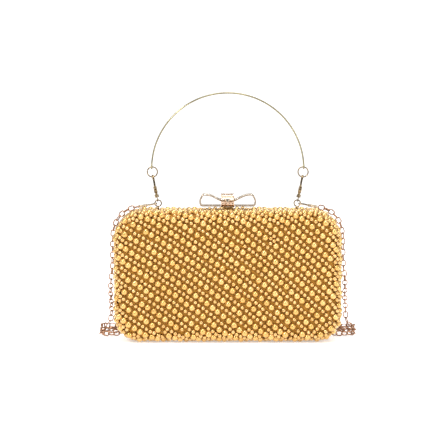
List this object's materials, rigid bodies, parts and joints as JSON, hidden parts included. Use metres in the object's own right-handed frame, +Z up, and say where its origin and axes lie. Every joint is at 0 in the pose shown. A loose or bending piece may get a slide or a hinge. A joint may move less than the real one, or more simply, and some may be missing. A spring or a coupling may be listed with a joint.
{
  "type": "evening bag",
  "caption": "Hard box evening bag covered in rows of large and small beads, with a bow press latch, a wire arch handle on swivel hooks and a shoulder chain.",
  "frame": {"origin": "centre of the bag's footprint on the surface it stands on, the free chain left out", "axes": "+X to the right seen from the front, -Y the front, +Z up"},
  "size_m": [0.229, 0.071, 0.2171],
  "materials": {
    "pearl_cover": "pearlescent beads on amber fabric",
    "shell": "matt",
    "lining": "satin",
    "frame_metal": "polished",
    "bow_metal": "polished, set with clear stones",
    "hardware_metal": "polished",
    "handle_metal": "polished",
    "chain_metal": "polished",
    "chain_hank": "polished",
    "steel": "plain"
  },
  "bodies": {
    "root": {"rear_shell": "shell", "rear_pearl_cover": "pearl_cover", "rear_lining": "lining", "lining_pocket": "lining", "rear_frame": "frame_metal", "hinge_pin_left": "steel", "hinge_pin_right": "steel", "latch_bracket": "frame_metal", "latch_pin": "steel", "latch_spring": "steel", "eyelet_left": "hardware_metal", "eyelet_right": "hardware_metal", "eyelet_nut_left": "steel", "eyelet_nut_right": "steel", "clasp_body_left": "chain_metal", "clasp_body_right": "chain_metal", "clasp_gate_pin_left": "steel", "clasp_gate_pin_right": "steel", "chain_run_left": "chain_metal", "chain_run_right": "chain_metal", "chain_hank": "chain_hank"},
    "front_half": {"front_shell": "shell", "front_pearl_cover": "pearl_cover", "front_lining": "lining", "front_frame": "frame_metal", "latch_strike": "frame_metal"},
    "latch": {"latch_lever": "frame_metal", "bow_base": "bow_metal", "bow_loop_left": "bow_metal", "bow_loop_right": "bow_metal", "bow_knot": "bow_metal"},
    "handle": {"handle_arch": "handle_metal"},
    "left_swivel": {"swivel_eye_left": "hardware_metal"},
    "left_hook": {"hook_body_left": "hardware_metal", "hook_gate_pin_left": "steel"},
    "left_gate": {"hook_gate_left": "hardware_metal"},
    "left_ring": {"handle_ring_left": "hardware_metal"},
    "left_clasp_gate": {"clasp_gate_left": "chain_metal"},
    "right_swivel": {"swivel_eye_right": "hardware_metal"},
    "right_hook": {"hook_body_right": "hardware_metal", "hook_gate_pin_right": "steel"},
    "right_gate": {"hook_gate_right": "hardware_metal"},
    "right_ring": {"handle_ring_right": "hardware_metal"},
    "right_clasp_gate": {"clasp_gate_right": "chain_metal"}
  },
  "joints": [
    {"name": "front_open", "type": "hinge", "parent": "root", "child": "front_half", "pos_m": [0, -0.0012, 0.0022], "axis": [1, 0, 0], "range_deg": [0, 55]},
    {"name": "latch_press", "type": "hinge", "parent": "root", "child": "latch", "pos_m": [0, 0.0055, 0.105], "axis": [-1, 0, 0], "range_deg": [0, 10], "stiffness_Nm_per_rad": 0.15, "springref_deg": -8.59},
    {"name": "left_hook_swing", "type": "hinge", "parent": "root", "child": "left_swivel", "pos_m": [-0.06132, 0, 0.12295], "axis": [1, 0, 0], "range_deg": [-80, 80]},
    {"name": "left_ring_pivot", "type": "hinge", "parent": "left_swivel", "child": "left_ring", "pos_m": [-0.06518, 0, 0.14319], "axis": [1, 0, 0], "range_deg": [-50, 50]},
    {"name": "left_hook_swivel", "type": "hinge", "parent": "left_swivel", "child": "left_hook", "pos_m": [-0.06132, 0, 0.12295], "axis": [-0.1874, 0, 0.9823], "range_deg": [-20, 20]},
    {"name": "left_hook_gate_press", "type": "hinge", "parent": "left_hook", "child": "left_gate", "pos_m": [-0.06331, -0.00285, 0.13336], "axis": [-0.9823, 0, -0.1874], "range_deg": [0, 24], "stiffness_Nm_per_rad": 0.03, "springref_deg": -11.46},
    {"name": "left_clasp_gate_press", "type": "hinge", "parent": "root", "child": "left_clasp_gate", "pos_m": [-0.07144, 0.00215, 0.11832], "axis": [0.1736, 0, -0.9848], "range_deg": [0, 18], "stiffness_Nm_per_rad": 0.02, "springref_deg": -11.46},
    {"name": "right_hook_swing", "type": "hinge", "parent": "root", "child": "right_swivel", "pos_m": [0.06132, 0, 0.12295], "axis": [1, 0, 0], "range_deg": [-80, 80]},
    {"name": "right_ring_pivot", "type": "hinge", "parent": "right_swivel", "child": "right_ring", "pos_m": [0.06518, 0, 0.14319], "axis": [1, 0, 0], "range_deg": [-50, 50]},
    {"name": "right_hook_swivel", "type": "hinge", "parent": "right_swivel", "child": "right_hook", "pos_m": [0.06132, 0, 0.12295], "axis": [0.1874, 0, 0.9823], "range_deg": [-20, 20]},
    {"name": "right_hook_gate_press", "type": "hinge", "parent": "right_hook", "child": "right_gate", "pos_m": [0.06331, -0.00285, 0.13336], "axis": [-0.9823, 0, 0.1874], "range_deg": [0, 24], "stiffness_Nm_per_rad": 0.03, "springref_deg": -11.46},
    {"name": "right_clasp_gate_press", "type": "hinge", "parent": "root", "child": "right_clasp_gate", "pos_m": [0.07144, -0.00215, 0.11832], "axis": [-0.1736, 0, -0.9848], "range_deg": [0, 18], "stiffness_Nm_per_rad": 0.02, "springref_deg": -11.46},
    {"name": "handle_pivot", "type": "hinge", "parent": "left_ring", "child": "handle", "pos_m": [-0.06641, 0, 0.1519], "axis": [1, 0, 0], "range_deg": [-50, 50]}
  ],
  "couplings": [
    {"joint": "right_hook_swing", "follows": "left_hook_swing", "ratio": 1},
    {"joint": "right_ring_pivot", "follows": "left_ring_pivot", "ratio": 1}
  ]
}
